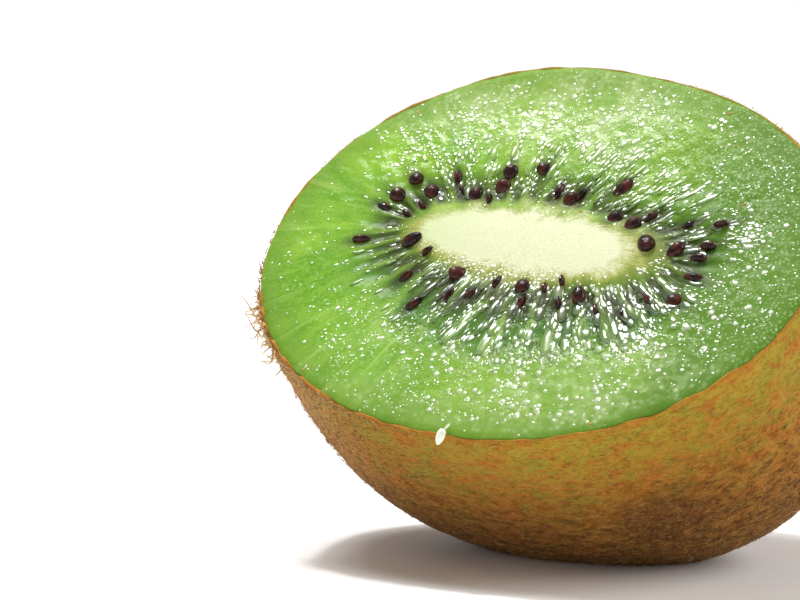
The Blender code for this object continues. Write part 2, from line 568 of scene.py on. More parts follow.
# Of the skin and its hairs.
WARM_SKIN = (0.42, 0.165, 0.016)
OLIVE_SKIN = (0.27, 0.180, 0.018)
YELLOW_SKIN = (0.46, 0.33, 0.03)
GREEN_SKIN = (0.27, 0.26, 0.026)
RED_SKIN = (0.43, 0.118, 0.012)
# Painted sheen: the skin is painted paler at the left, where light falls on the fuzz.
SHEEN_LIT_LEFT_SKIN = (0.51, 0.28, 0.105)
# Partly browner skin, partly painted shade low down on the fruit.
DEEP_SKIN_AND_SHADE = (0.105, 0.029, 0.006)
DULL_SKIN = (0.095, 0.026, 0.005)
BRIGHT_SKIN = (0.52, 0.24, 0.05)
DARK_PATCH_SKIN = (0.075, 0.020, 0.007)
LIGHT_FLECK = (0.56, 0.33, 0.09)
DARK_FLECK = (0.11, 0.036, 0.010)
DARK_LIP = (0.40, 0.15, 0.02)
LIGHT_LIP = (0.62, 0.27, 0.04)
FAR_LIP = (0.42, 0.30, 0.06)
DARK_HAIR = (0.10, 0.034, 0.010)
LIGHT_HAIR = (0.74, 0.50, 0.22)
SHEEN = (0.95, 0.75, 0.45)


class Look:
    """One material, or the sky, with short ways to add its nodes."""

    def __init__(self, name, kind="materials", shader="Principled BSDF"):
        self.owner = getattr(bpy.data, kind).new(name)
        self.owner.use_nodes = True
        self.tree = self.owner.node_tree
        self.shader = self.tree.nodes[shader]

    def join(self, value, socket):
        if isinstance(value, bpy.types.NodeSocket):
            self.tree.links.new(value, socket)
        elif isinstance(value, tuple) and socket.type == "RGBA":
            socket.default_value = (*value, 1.0)
        else:
            socket.default_value = value

    def node(self, kind, inputs, **settings):
        node = self.tree.nodes.new(kind)
        for name, value in settings.items():
            setattr(node, name, value)
        for name, value in inputs.items():
            self.join(value, node.inputs[name])
        return node

    def set(self, **values):
        for name, value in values.items():
            self.join(value, self.shader.inputs[name.replace("_", " ")])

    def mark(self, name, output="Fac"):
        """What a mark says at each point."""
        return self.node("ShaderNodeAttribute", {}, attribute_name=name).outputs[output]

    def scaled(self, vector, scale):
        return self.node("ShaderNodeVectorMath", {0: vector, 1: scale}, operation="MULTIPLY").outputs[0]

    def place(self, scale=(1.0, 1.0, 1.0)):
        """The place in the fruit's own frame in millimetres, times a scale for each axis."""
        return self.scaled(self.mark("fruit", "Vector"), scale)

    def across(self, axis=0):
        """The place along one axis of the fruit, in millimetres."""
        return self.node("ShaderNodeSeparateXYZ", {0: self.mark("fruit", "Vector")}).outputs[axis]

    def away_from(self, spot):
        """How many millimetres a place lies from a spot."""
        inputs = {0: self.mark("fruit", "Vector"), 1: spot}
        return self.node("ShaderNodeVectorMath", inputs, operation="DISTANCE").outputs["Value"]

    def noise(self, place, scale, detail=2.0, roughness=0.5, distortion=0.0):
        inputs = {"Vector": place, "Scale": scale, "Detail": detail}
        inputs |= {"Roughness": roughness, "Distortion": distortion}
        return self.node("ShaderNodeTexNoise", inputs).outputs["Fac"]

    def cells(self, place, scale):
        return self.node("ShaderNodeTexVoronoi", {"Vector": place, "Scale": scale}).outputs["Distance"]

    def range(self, value, low, high, to_low=0.0, to_high=1.0):
        inputs = {"Value": value, "From Min": low, "From Max": high, "To Min": to_low, "To Max": to_high}
        return self.node("ShaderNodeMapRange", inputs, interpolation_type="SMOOTHSTEP").outputs[0]

    def patches(self, place, scale, detail, low, high, roughness=0.5, distortion=0.0):
        """Random patches: 0 where the noise is lower than one limit and 1 above the other."""
        return self.range(self.noise(place, scale, detail, roughness, distortion), low, high)

    def joined(self, operation, first, *others):
        for other in others:
            first = self.node("ShaderNodeMath", {0: first, 1: other}, operation=operation).outputs[0]
        return first

    def times(self, *values):
        return self.joined("MULTIPLY", *values)

    def plus(self, *values):
        return self.joined("ADD", *values)

    def mix(self, share, first, second):
        return self.node("ShaderNodeMix", {0: share, 6: first, 7: second}, data_type="RGBA").outputs[2]

    def over(self, colour, *layers):
        """A colour with tints over it. Each layer has a tint, and shares that are multiplied to say
        how strong it is."""
        for tint, *shares in layers:
            colour = self.mix(self.times(*shares), colour, tint)
        return colour

    def bump(self, height, distance):
        return self.node("ShaderNodeBump", {"Height": height, "Distance": distance}).outputs[0]


def green_flesh(look, rays, place):
    """The flesh outside the seeds: pale rays, blotches and grains in two greens."""
    pale = look.mark("pale")
    uneven = look.range(look.noise(place, 0.9, 2.0), 0.3, 0.6, 0.25, 1.0)
    return look.over(
        look.mix(look.patches(rays, 3.2, 3.0, 0.35, 0.68), DEEP_GREEN, FRESH_GREEN),
        (THIN_RAY, look.patches(rays, 22.0, 3.0, 0.35, 0.7, 0.6), 0.4),
        (BLOTCH, look.patches(place, 0.45, 3.0, 0.42, 0.7), 0.35),
        (GRAIN, look.patches(place, 3.2, 2.0, 0.42, 0.66, 0.6), 0.3),
        (LONG_RAY, look.patches(look.scaled(rays, (1.0, 1.0, 0.3)), 26.0, 2.0, 0.54, 0.72), 0.4),
        # pale grains and painted highlights
        (PALE_FLESH_AND_GLINT, pale, 0.5),
        (RIM_FLESH, look.range(look.mark("share"), 0.72, 0.99), 0.6),
        # painted shade towards the right
        (PAINTED_SHADE_GREEN, look.mark("painted_shade")),
        # pale clumps and dots, partly painted highlights that stand in for soft glints
        (PALE_CLUMP_AND_GLINT, look.range(uneven, 0.6, 1.0), pale, 0.25),
        (PALE_DOT_AND_GLINT, look.range(look.cells(place, 1.6), 0.50, 0.14), uneven, pale, 0.7),
        (SPECK, look.range(look.cells(place, 3.0), 0.50, 0.22), look.mark("specks"), 0.38),
    )


def chamber_flesh(look, rays):
    """The clear dark flesh of the seed chambers, which is greener further out."""
    return look.over(
        look.mix(look.noise(rays, 14.0, 2.0), DARK_CHAMBER, CLEAR_CHAMBER),
        (OUTER_CHAMBER, look.range(look.mark("share"), 0.16, 0.40)),
        (FIBRE, look.patches(rays, 34.0, 2.0, 0.52, 0.68), 0.5),
    )


def frayed_off_pith(look, rays, place):
    """How far a place lies outside the pith, frayed along the rays and in grains and lobes."""
    fray = look.times(look.noise(rays, 26.0, 3.0, 0.7), 3.2)
    grain = look.times(look.noise(place, 4.0, 2.0, 0.8), 2.4)
    lobes = look.times(look.noise(place, 0.45, 1.0), 3.6)
    return look.plus(look.mark("off_pith"), fray, grain, lobes)


def pith_colour(look, rays, place):
    """The pale pith, streaked and grainy, and greener at the left."""
    return look.over(
        look.mix(look.noise(rays, 12.0, 4.0, 0.7), PITH_GREEN, PITH_CREAM),
        (PITH_GRAIN, look.patches(place, 5.0, 3.0, 0.42, 0.66, 0.75)),
        (PITH_LEFT, look.range(look.across(), -4.0, -12.0, 0.0, 0.6)),
    )


def flesh_colour(look):
    """The colour of the cut flesh and, from 0 to 1, where the pale pith is."""
    rays, place, olive = look.mark("rays", "Vector"), look.place(), look.mark("olive")
    off_pith = frayed_off_pith(look, rays, place)
    pith = look.range(off_pith, 5.6, 3.6)
    colour = look.over(
        look.mix(look.mark("chamber"), green_flesh(look, rays, place), chamber_flesh(look, rays)),
        (CHAMBER_WALL, look.mark("wall"), 0.4),
        (SEED_SHADE, look.mark("seed_shade"), 0.85),
        (OLIVE_RING, olive, 0.8),
        (PITH_HALO, look.range(off_pith, 6.7, 4.9), look.range(olive, 0.0, 0.6, 0.45, 0.85)),
        (pith_colour(look, rays, place), pith),
    )
    return colour, pith


def flesh_look():
    look = Look("wet_flesh")
    colour, pith = flesh_colour(look)
    place = look.place()
    fine_grain = look.times(look.noise(place, 2.4, 1.0), look.mark("grainy"))
    pith_grain = look.times(look.noise(place, 3.6, 2.0), pith)
    bumpy = look.bump(look.plus(fine_grain, look.times(pith_grain, 0.12)), 0.10 * MM)
    look.set(Base_Color=colour, Roughness=0.5, Specular_IOR_Level=0.05)
    look.set(Coat_Weight=look.mark("wet"), Coat_Roughness=0.1, Coat_IOR=1.5)
    look.set(Normal=bumpy, Coat_Normal=bumpy)
    look.set(Subsurface_Weight=0.2, Subsurface_Scale=0.0008, Subsurface_Radius=(0.9, 1.0, 0.35))
    return look.owner


def juice_look():
    """Clear juice, which shows the flesh under it. Some drops are pale: partly pulp, partly painted
    highlight.
    """
    look = Look("juice")
    colour, _ = flesh_colour(look)
    colour = look.mix(look.mark("tone"), colour, PULP_AND_GLINT_JUICE)
    look.set(Base_Color=colour, Roughness=0.4, Coat_Weight=1.0, Coat_Roughness=0.09, Coat_IOR=1.8)
    return look.owner


def seed_look():
    look = Look("seed_coat")
    place = look.place()
    colour = look.mix(look.patches(place, 1.3, 3.0, 0.35, 0.7), SEED_BLACK, SEED_BROWN)
    pits = look.bump(look.cells(place, 4.0), 0.03 * MM)
    look.set(Base_Color=colour, Roughness=0.6, Specular_IOR_Level=0.1)
    look.set(Coat_Weight=0.38, Coat_Roughness=0.05, Normal=pits, Coat_Normal=pits)
    return look.owner


def skin_colour(look):
    """The mottled colour of the skin, which the hairs on it share."""
    drawn = look.place((1.0, 1.0, 1.7))
    depth, x = look.mark("depth"), look.across()
    olive = look.patches(drawn, 0.26, 7.0, 0.42, 0.62, 0.75, 0.4)
    red = look.patches(drawn, 0.5, 6.0, 0.46, 0.62, 0.75, 0.6)
    mottled = look.noise(drawn, 0.9, 4.0, 0.62)
    stronger = look.range(depth, 3.0, 14.0, 0.15, 0.75)
    off_dark_patch = look.plus(look.away_from(DARK_PATCH_PLACE), look.times(red, 1.6))
    return look.over(
        look.mix(olive, WARM_SKIN, OLIVE_SKIN),
        (YELLOW_SKIN, look.range(depth, 8.0, 0.5), look.range(x, -8.0, 12.0), 0.7),
        (GREEN_SKIN, look.range(olive, 0.0, 1.0, 0.3, 0.8), look.range(depth, 12.0, 1.0)),
        (RED_SKIN, red, 0.75),
        # painted sheen, paler at the left where light falls on the fuzz
        (SHEEN_LIT_LEFT_SKIN, look.range(x, -6.0, -18.0), 0.7),
        # darker deeper down: partly browner skin, partly painted shade near the table
        (DEEP_SKIN_AND_SHADE, look.range(depth, 5.0, 22.0, 0.0, 0.77)),
        (DULL_SKIN, look.range(mottled, 0.53, 0.38), stronger),
        (BRIGHT_SKIN, look.range(mottled, 0.5, 0.64), look.times(stronger, 0.6)),
        # a darker patch low at the right
        (DARK_PATCH_SKIN, look.range(off_dark_patch, 7.0, 2.0, 0.0, 0.65)),
    )


def skin_look():
    look = Look("furry_skin")
    depth, x, y = look.mark("depth"), look.across(), look.across(1)
    drawn = look.place((1.0, 1.0, 2.4))
    uneven = look.patches(look.place(), 1.1, 4.0, 0.4, 0.6, 0.7)
    lip = look.over(look.mix(uneven, DARK_LIP, LIGHT_LIP), (FAR_LIP, look.range(y, -4.0, 6.0)))
    off_lip = look.plus(depth, look.times(uneven, 0.5))
    dark = look.patches(drawn, 2.2, 4.0, 0.51, 0.60, 0.75)
    light = look.patches(drawn, 2.6, 3.0, 0.50, 0.64, 0.7)
    colour = look.over(
        skin_colour(look),
        (LIGHT_FLECK, light, look.range(depth, 4.0, 20.0, 0.3, 0.6)),
        (DARK_FLECK, dark, look.range(x, 4.0, -12.0, 0.4, 0.9)),
        (lip, look.range(off_lip, 1.0, 0.2, 0.0, 0.7)),
    )
    rough = look.bump(look.noise(drawn, 2.6, 4.0, 0.7), 0.16 * MM)
    look.set(Base_Color=colour, Roughness=0.9, Specular_IOR_Level=0.1)
    look.set(Normal=rough, Sheen_Weight=0.07, Sheen_Roughness=0.4, Sheen_Tint=SHEEN)
    return look.owner


def hair_look():
    """Hairs in the colour of the skin under them, some darker and some lighter. They stand out
    most at the left and low down."""
    look = Look("skin_hair")
    colour = skin_colour(look)
    at_left = look.range(look.across(), 4.0, -14.0, 0.15, 0.85)
    low_down = look.range(look.mark("depth"), 8.0, 18.0, 0.0, 0.6)
    stand_out = look.plus(at_left, look.times(low_down, look.range(at_left, 0.15, 0.85, 1.0, 0.2)))
    dark = look.mix(stand_out, colour, DARK_HAIR)
    light = look.mix(stand_out, colour, LIGHT_HAIR)
    colour = look.mix(look.mark("tone"), dark, light)
    look.set(Base_Color=colour, Roughness=0.8, Specular_IOR_Level=0.15)
    return look.owner


def pulp_look():
    look = Look("pale_pulp")
    colour = look.mix(look.noise(look.place(), 3.0, 3.0), PULP_GREEN, PULP_WHITE)
    look.set(Base_Color=colour, Roughness=0.3, Coat_Weight=0.6, Coat_Roughness=0.1)
    return look.owner


# ---- pieces ----

FLESH_COLUMNS = 896
FLESH_EDGE = 1.0 - 0.2 * MM / (HALF_WIDTH - CORE_HALF_LENGTH)  # the share where the cut ends
# The flesh's rings inside the skin: depth in mm, points, and mm inside the skin's outside.
FLESH_INSIDE = [(0.8, 896, 0.25), (1.4, 448, 0.5), (2.5, 224, 0.8), (5.0, 112, 1.2)]
FLESH_INSIDE += [(depth, 56, 1.5) for depth in (9.0, 14.0, 19.0, 24.0, 28.0, 30.5)]
FLESH_END_INSET = 1.5 * MM

SKIN_THICKNESS = 0.35 * MM
SKIN_COLUMNS = 480
# The rings of the skin's inner side: depth in mm and points.
SKIN_INSIDE = ((30.0, 60), (24.0, 60), (17.0, 60), (10.0, 120), (5.0, 120), (2.0, 240), (0.8, 480))
# The rings of its edge: depth and inset in mm, and share of the tear.
SKIN_EDGE = ((0.5, 0.4, 0.0), (0.22, 0.3, 1.0), (0.10, 0.1, 1.0), (0.25, 0.02, 0.8))
# Its bumps: seed, height in mm, how many there are round the fruit, and length in mm.
SKIN_BUMPS = ((33, 0.12, 20, 5.0), (34, 0.05, 96, 1.1), (35, 0.03, 240, 0.55))
TABLE_GAP = 0.02 * MM

FUZZ_TRIES = 20000
# How many hairs the rim has: curly ones where the skin is torn, others near them, and short
# ones all round.
RIM_HAIRS = (60, 420, 450)

DROP_TRIES, FINE_DROP_TRIES = 24000, 16000
DROP_SIDES = 6
DROP_STEEPNESS = (0.11, 0.18)
DROP_SAG = (-0.2, -0.6)
DROP_ROOT = 0.1 * MM  # how deep a drop's lowest point is in the flesh
NUDGE = 0.01  # of a turn or a share, to find which way and how far a place moves


def inside_ring(count, depth, inset):
    """A ring of points a little inside the skin."""
    return press_on_table(skin_point(turns_of(count), depth, inset), inset)


def inside_end(inset):
    """The middle of the blunt end, a little inside the skin."""
    return press_on_table(np.array((0.0, END_SHIFT, -DEPTH + inset)), inset)


def face_marks(turn, share):
    """What the flesh's look needs to know at each place."""
    reach = chamber_reach(turn, share)
    inside = chamber(turn, share)
    return {
        "share": share,
        "rays": np.stack((np.cos(turn), np.sin(turn), 0.22 * share), axis=-1),
        "chamber": reach * (0.5 + 0.5 * smooth(0.0, 0.5, inside)),
        "wall": reach * (1.0 - smooth(0.0, 0.2, inside)),
        "seed_shade": seed_shade(turn, share),
        "grainy": 0.12 + 0.88 * liveliness(turn, share) * (1.0 - 0.5 * near_seeds(share)),
        "wet": wetness(turn, share),
        "off_pith": off_pith(turn, share),
        "olive": olive_ring(turn, share),
        "pale": pale_grain_and_glint(turn, share),
        "painted_shade": painted_right_shade(turn, share),
        "specks": speckle(turn, share),
    }


def cut_layout():
    """The rings of the cut, from the core's middle out: the share and how many points."""
    core = [(-0.97, 112), (-0.9, 224), (-0.8, 448)]
    core += [(share, 448) for share in np.linspace(-0.72, -0.03, 24)]
    outside = np.concatenate((np.linspace(0.0, 0.93, 72), np.linspace(0.94, FLESH_EDGE, 7)))
    return core + [(share, FLESH_COLUMNS) for share in outside]


def make_flesh(material):
    layout = cut_layout()
    turn = np.concatenate([turns_of(count) for _, count in layout])
    share = np.concatenate([np.full(count, level) for level, count in layout])
    cuts = np.cumsum([count for _, count in layout])[:-1]
    rings = np.split(face_point(turn, share), cuts)
    for depth, count, inset in FLESH_INSIDE:
        rings.append(inside_ring(count, depth * MM, inset * MM))
        turn = np.concatenate((turn, turns_of(count)))
        share = np.concatenate((share, np.full(count, FLESH_EDGE)))
    top = np.append(CORE_CENTRE, relief(0.0, -1.0))
    points, faces = closed_by_rings(rings, top, inside_end(FLESH_END_INSET))
    turn = np.concatenate(([0.0], turn, [0.0]))
    share = np.concatenate(([-1.0], share, [FLESH_EDGE]))
    flesh = make_piece("flesh", points, faces, material, face_marks(turn, share))
    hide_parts("kiwi_half")


def torn_edge(turn):
    """How far the skin's edge stands up, unevenly, and most where the knife tore it."""
    torn = 0.10 + 0.26 * bell(turn, 226.0, 45.0) + 0.06 * bell(turn, 310.0, 40.0)
    ragged = torn * MM * noise_round(31, turn, 120)
    ragged += 0.5 * torn * MM * noise_round(36, turn, 240)
    ragged += 0.06 * MM * noise_round(32, turn, 48)
    ragged += rim_lift(turn)
    return ragged + 0.5 * MM * bell(turn, 238.0, 2.5)


def skin_ring(turn, depth):
    """One ring of the skin's outside, with its bumps."""
    ring = skin_point(turn, depth)
    bumps = 0.0
    for seed, height, waves, length in SKIN_BUMPS:
        down = 0.0 * turn + depth / (length * MM)
        bumps = bumps + height * noise(seed, turn * waves / TAU, down, waves)
    calm = fullness(depth) ** 0.5 * smooth(0.0, 1.0 * MM, depth)
    ring = ring + skin_normal(ring) * (bumps * MM * calm)[:, None]
    ring[:, 2] += rim_lift(turn) * (1.0 - smooth(0.0, 3.0 * MM, depth))
    return press_on_table(ring)


def make_skin(material):
    rings = [inside_ring(count, depth * MM, SKIN_THICKNESS) for depth, count in SKIN_INSIDE]
    turn = turns_of(SKIN_COLUMNS)
    ragged = torn_edge(turn)
    for depth, inset, rise in SKIN_EDGE:
        edge = skin_point(turn, depth * MM, inset * MM)
        edge[:, 2] += rise * ragged
        rings.append(edge)
    sweep = np.linspace(0.025, 0.5 * math.pi, 150)[:-1]
    rings += [skin_ring(turn, depth) for depth in DEPTH * np.sin(sweep)]
    outer_end = press_on_table(skin_point(0.0, DEPTH))
    points, faces = closed_by_rings(rings, inside_end(SKIN_THICKNESS), outer_end)
    skin = make_piece("skin", points, faces, material, {"depth": -points[:, 2] / MM})


def fuzz_lines(rng):
    """The points of each hair of the skin, which mostly lies along it, round the fruit."""
    turn = rng.uniform(0.0, TAU, FUZZ_TRIES)
    depth = DEPTH * np.sin(rng.uniform(0.03, 0.5 * math.pi, FUZZ_TRIES)) * 0.999
    keep = rng.uniform(0.0, 1.0, FUZZ_TRIES) < fullness(depth) + 0.05
    turn, depth = turn[keep], depth[keep]
    count = len(turn)
    root = skin_point(turn, depth)
    out = skin_normal(root)
    round_way = unit(skin_point(turn + NUDGE, depth) - root)
    down_way = np.cross(out, round_way)
    lean = rng.normal(0.0, 0.7, count)[:, None]
    way = round_way * np.cos(lean) + down_way * np.sin(lean)
    way *= np.sign(rng.uniform(-1.0, 1.0, count))[:, None]
    length = (rng.uniform(0.2, 0.65, count) * MM)[:, None]
    lift = rng.uniform(0.05, 0.7, count)[:, None]
    curve = rng.normal(0.0, 0.25, count)[:, None]
    lines = []
    for step in (0.0, 0.5, 1.0):
        bent = way * step + np.cross(out, way) * curve * step**2
        lines.append(root + bent * length + out * lift * length * (step - 0.35 * step**2))
    return press_on_table(np.stack(lines, axis=1), TABLE_GAP)


def make_fuzz(material):
    """Short hairs all over the skin."""
    rng = np.random.default_rng(41)
    lines = fuzz_lines(rng)
    count = len(lines)
    radius = rng.uniform(0.018, 0.042, count)[:, None] * MM * np.array((1.0, 0.75, 0.0))
    points, faces = strands(lines, radius)
    tone = np.repeat(rng.uniform(0.0, 1.0, count), len(points) // count)
    fuzz = make_piece("skin_fuzz", points, faces, material, {"tone": tone, "depth": -points[:, 2] / MM})


def for_rim_hairs(torn, near, plain):
    """One number for each hair of the rim, by its kind."""
    return np.repeat((torn, near, plain), RIM_HAIRS)


def rim_hair_lines(rng):
    """The points of each hair of the rim, from its root to its tip."""
    torn, near, plain = RIM_HAIRS
    turn = (rng.normal(219.0, 8.0, torn), rng.normal(228.0, 20.0, near), rng.uniform(0.0, 360.0, plain))
    turn = np.radians(np.concatenate(turn))
    length = (rng.uniform(0.4, 2.0, torn), rng.uniform(0.25, 0.7, near), rng.uniform(0.1, 0.3, plain))
    length = (np.concatenate(length) * MM)[:, None]
    count = len(turn)
    root = skin_point(turn, rng.uniform(0.05, 0.6, count) * MM)
    out = skin_normal(root)
    along = unit(skin_point(turn + NUDGE, 0.3 * MM) - skin_point(turn, 0.3 * MM))
    up = np.cross(out, along)
    way = out * for_rim_hairs(1.0, 0.25, 1.0)[:, None] + along * rng.normal(0.0, 0.8, count)[:, None]
    way = unit(way + up * rng.normal(0.0, 0.5, count)[:, None])
    curly = for_rim_hairs(0.7, 0.4, 0.3) * rng.normal(0.0, 1.0, count)
    curl = np.cross(way, out + 0.3 * along) * curly[:, None]
    start = rng.uniform(0.0, TAU, count)[:, None]
    lines = []
    for step in np.linspace(0.0, 1.0, 6):
        wave = np.sin(start + 4.0 * step) - np.sin(start)
        lines.append(root + length * (way * step + curl * wave - up * 0.2 * step**2))
    return np.stack(lines, axis=1)


def make_rim_hairs(material):
    """Curly hairs where the knife tore the skin, and short ones all round the rim."""
    rng = np.random.default_rng(71)
    lines = rim_hair_lines(rng)
    count = len(lines)
    thick = for_rim_hairs(2.3, 1.5, 0.9) * rng.uniform(0.025, 0.045, count) * MM
    radius = thick[:, None] * np.array((1.0, 0.95, 0.85, 0.7, 0.5, 0.0))
    points, faces = strands(lines, radius)
    lightness = for_rim_hairs(0.8, 0.6, 0.6) + rng.uniform(-0.2, 0.2, count)
    marks = {"tone": np.repeat(lightness, len(points) // count), "depth": np.zeros(len(points))}
    hairs = make_piece("rim_hairs", points, faces, material, marks)


def seed_form():
    """Points and faces of one seed of length and width 1, with its point at -x."""
    sides, rings = 12, []
    for step in (0.04, 0.14, 0.28, 0.44, 0.60, 0.75, 0.88, 0.97):
        wide = 0.5 * (step / 0.62) ** 0.62 * ((1.0 - step) / 0.38) ** 0.40
        angle = turns_of(sides)
        x = np.full(sides, step - 0.5)
        rings.append(np.stack((x, -wide * np.cos(angle), wide * np.sin(angle)), axis=1))
    return closed_by_rings(rings, np.array((-0.5, 0.0, 0.0)), np.array((0.5, 0.0, 0.0)))


def make_seeds(material):
    rng = np.random.default_rng(51)
    form, form_faces = seed_form()
    copies = []
    for kind, (length, width, turned) in SEED_KINDS.items():
        for turn, share in spots(SEEDS[kind]):
            spoke = spoke_at(turn, share)
            aim = math.atan2(spoke[1], spoke[0]) + math.radians(turned + rng.normal(0.0, 7.0))
            scale = np.array((length * MM, width * MM, SEED_HEIGHT)) * rng.uniform(0.93, 1.07)
            rotation = Matrix.Rotation(aim, 3, "Z") @ Matrix.Rotation(rng.normal(0.0, 0.2), 3, "Y")
            height = relief(turn, share) - rng.uniform(0.0, 0.18) * MM
            centre = np.array((*face_place(turn, share), height))
            copies.append((form * scale) @ np.array(rotation).T + centre)
    points = np.concatenate(copies)
    seeds = make_piece("seeds", points, repeated(len(form), form_faces, len(copies)), material)


def make_pulp_fleck(material):
    """A fleck of white pulp that clings to the rim, its thin end on the flesh."""
    form, form_faces = seed_form()
    parts = []
    for size, off, aim, tilt in PULP_FLECK:
        turned = Matrix.Rotation(math.radians(aim), 3, "Z") @ Matrix.Rotation(math.radians(tilt), 3, "Y")
        parts.append((form * np.array(size) * MM) @ np.array(turned).T + np.array(off) * MM)
    points = np.concatenate(parts) + np.array(FLECK_PLACE)
    fleck = make_piece("pulp_fleck", points, repeated(len(form), form_faces, len(parts)), material)


def make_crumbs(material):
    """Crumbs of skin that the knife left on the cut."""
    rng = np.random.default_rng(81)
    form, form_faces = seed_form()
    copies = []
    for turn, share in spots(CRUMB_RINGS):
        turned = np.array(Matrix.Rotation(rng.uniform(0.0, TAU), 3, "Z"))
        scale = np.array((rng.uniform(0.3, 0.6), rng.uniform(0.15, 0.3), 0.15)) * MM
        copies.append((form * scale) @ turned.T + face_point(turn, share))
    points = np.concatenate(copies)
    marks = {"tone": np.full(len(points), 0.8), "depth": np.zeros(len(points))}
    crumbs = make_piece("skin_crumbs", points, repeated(len(form), form_faces, len(copies)), material, marks)


# ---- juice ----


def clusters(x, y):
    """1 in the middle of each cluster of drops and 0 away from them."""
    near = [np.exp(-((x - cx) ** 2 + (y - cy) ** 2) / reach**2) for cx, cy, reach in CLUSTERS]
    return np.max(near, axis=0)


def band_crowd(turn, share):
    """How much drops keep to the walls of the chambers, and how thickly they stand in the bands
    above and below the seeds."""
    x, y = face_mm(turn, share)
    in_chambers = smooth(0.06, 0.16, share) * (1.0 - smooth(0.5, 0.75, share))
    walls = 1.0 - 0.8 * in_chambers * smooth(0.15, 0.7, chamber(turn, share))
    top = 0.4 + 0.4 * smooth(2.0, 8.0, y) - 0.6 * smooth(8.0, 15.0, y + 0.3 * x)
    fading = 1.0 - 0.9 * smooth(-11.0, -17.0, y - 0.3 * x)
    bottom = smooth(-1.0, -4.0, y) * (0.8 + 2.4 * in_chambers) * fading
    return walls, np.maximum(top, bottom)


def juice_crowd(turn, share):
    """How thickly drops stand: most in bands above and below the seeds and in clusters, few at
    the left."""
    x, y = face_mm(turn, share)
    walls, bands = band_crowd(turn, share)
    patches = smooth(-0.6, 0.5, noise(62, x / 2.2 + 40.0, y / 2.2 + 40.0))
    left = 0.07 + 0.93 * smooth(-19.0, -5.0, x + 0.7 * y)
    right = 1.0 - 0.85 * smooth(9.0, 18.0, x)
    near_core = np.maximum(smooth(-1.0, 1.0, y), 0.3 * smooth(-4.0, 0.0, x))
    at_core = 1.0 - 0.8 * smooth(0.13, 0.06, share) * near_core
    rim = 1.0 - 0.9 * smooth(0.8, 0.97, share)
    crowd = left * right * walls * bands * (0.2 + 0.8 * patches)
    return np.maximum(crowd, 0.8 * clusters(x, y)) * at_core * rim


def fine_crowd(turn, share):
    """How thickly the finest drops stand: in patches at the left, above and below, and all over
    the right."""
    x, y = face_mm(turn, share)
    patches = smooth(-0.3, 0.6, noise(63, x / 1.3 + 60.0, y / 1.3 + 60.0))
    lower = smooth(-7.0, -11.0, y) * smooth(-20.0, -14.0, x) * (0.15 + 0.85 * patches)
    lower *= 1.0 - 0.7 * smooth(-5.0, 1.0, x)
    right = 0.26 * smooth(0.0, 12.0, x + 0.6 * y) * smooth(-15.0, -6.0, y)
    upper = 0.5 * smooth(5.0, 10.0, y) * smooth(-18.0, -10.0, x) * (0.2 + 0.8 * patches)
    anywhere = 0.04 * (0.2 + 0.8 * patches)
    crowd = np.maximum(np.maximum(lower, right), np.maximum(upper, anywhere))
    return crowd * smooth(0.25, 0.5, share) * (1.0 - 0.8 * smooth(0.85, 0.98, share))


def juice_size(turn, share):
    """How large the drops are: largest just below the seeds, and smallest at the left and on the
    core."""
    x, y = face_mm(turn, share)
    below = smooth(-3.0, -5.5, y) * smooth(-13.5, -10.0, y)
    below *= smooth(-14.0, -8.0, x) * smooth(16.0, 9.0, x)
    soft = np.maximum(smooth(9.0, 13.0, y), smooth(-9.0, -12.0, y - 0.2 * x) * smooth(-6.0, 1.0, x))
    at_core = 0.6 + 0.4 * smooth(0.04, 0.16, share)
    return (0.7 + 0.3 * smooth(-18.0, -6.0, x)) * (1.0 + 0.4 * below + 0.1 * soft) * at_core


def gleam(turn, share):
    """How steep the drops stand, and so how much they gleam: least at the top, the bottom and
    the upper right."""
    x, y = face_mm(turn, share)
    top = smooth(9.0, 15.0, y + 0.2 * x)
    bottom = smooth(-10.0, -13.5, y - 0.2 * (x + 5.0)) * smooth(-7.0, 0.0, x)
    right = smooth(7.0, 14.0, x + 0.3 * y) * (1.0 - clusters(x, y)) * smooth(-4.0, 2.0, y)
    return 1.0 - 0.8 * np.maximum(np.maximum(top, bottom), right)


def scattered(rng, tries, crowd):
    """Random places on the cut face, thickest where the crowd is."""
    turn, share = rng.uniform(0.0, TAU, tries), rng.uniform(0.0, 0.98, tries)
    keep = rng.uniform(0.0, 1.25, tries) < crowd(turn, share)
    return turn[keep], share[keep]


def scattered_drops(rng):
    """Where the drops stand, and how wide they are."""
    turn, share = scattered(rng, DROP_TRIES, juice_crowd)
    fine_turn, fine_share = scattered(rng, FINE_DROP_TRIES, fine_crowd)
    wide = rng.gamma(4.0, 0.045, len(turn)).clip(0.07, 0.34) * juice_size(turn, share)
    fine_wide = rng.uniform(0.05, 0.13, len(fine_turn))
    wide = np.concatenate((wide, fine_wide)) * MM
    return np.concatenate((turn, fine_turn)), np.concatenate((share, fine_share)), wide


def drop_form():
    """The points of one drop: its top, two rings and a point under it. Gives how far out each is,
    its angle, and how high it stands."""
    counts = (1, DROP_SIDES, DROP_SIDES, 1)
    radius = np.repeat((0.0, 0.6, 1.3, 0.0), counts)
    angle = np.concatenate(([0.0], turns_of(DROP_SIDES), turns_of(DROP_SIDES), [0.0]))
    rise = 1.0 - radius**2
    rise[-1] = 0.0
    return radius, angle, rise


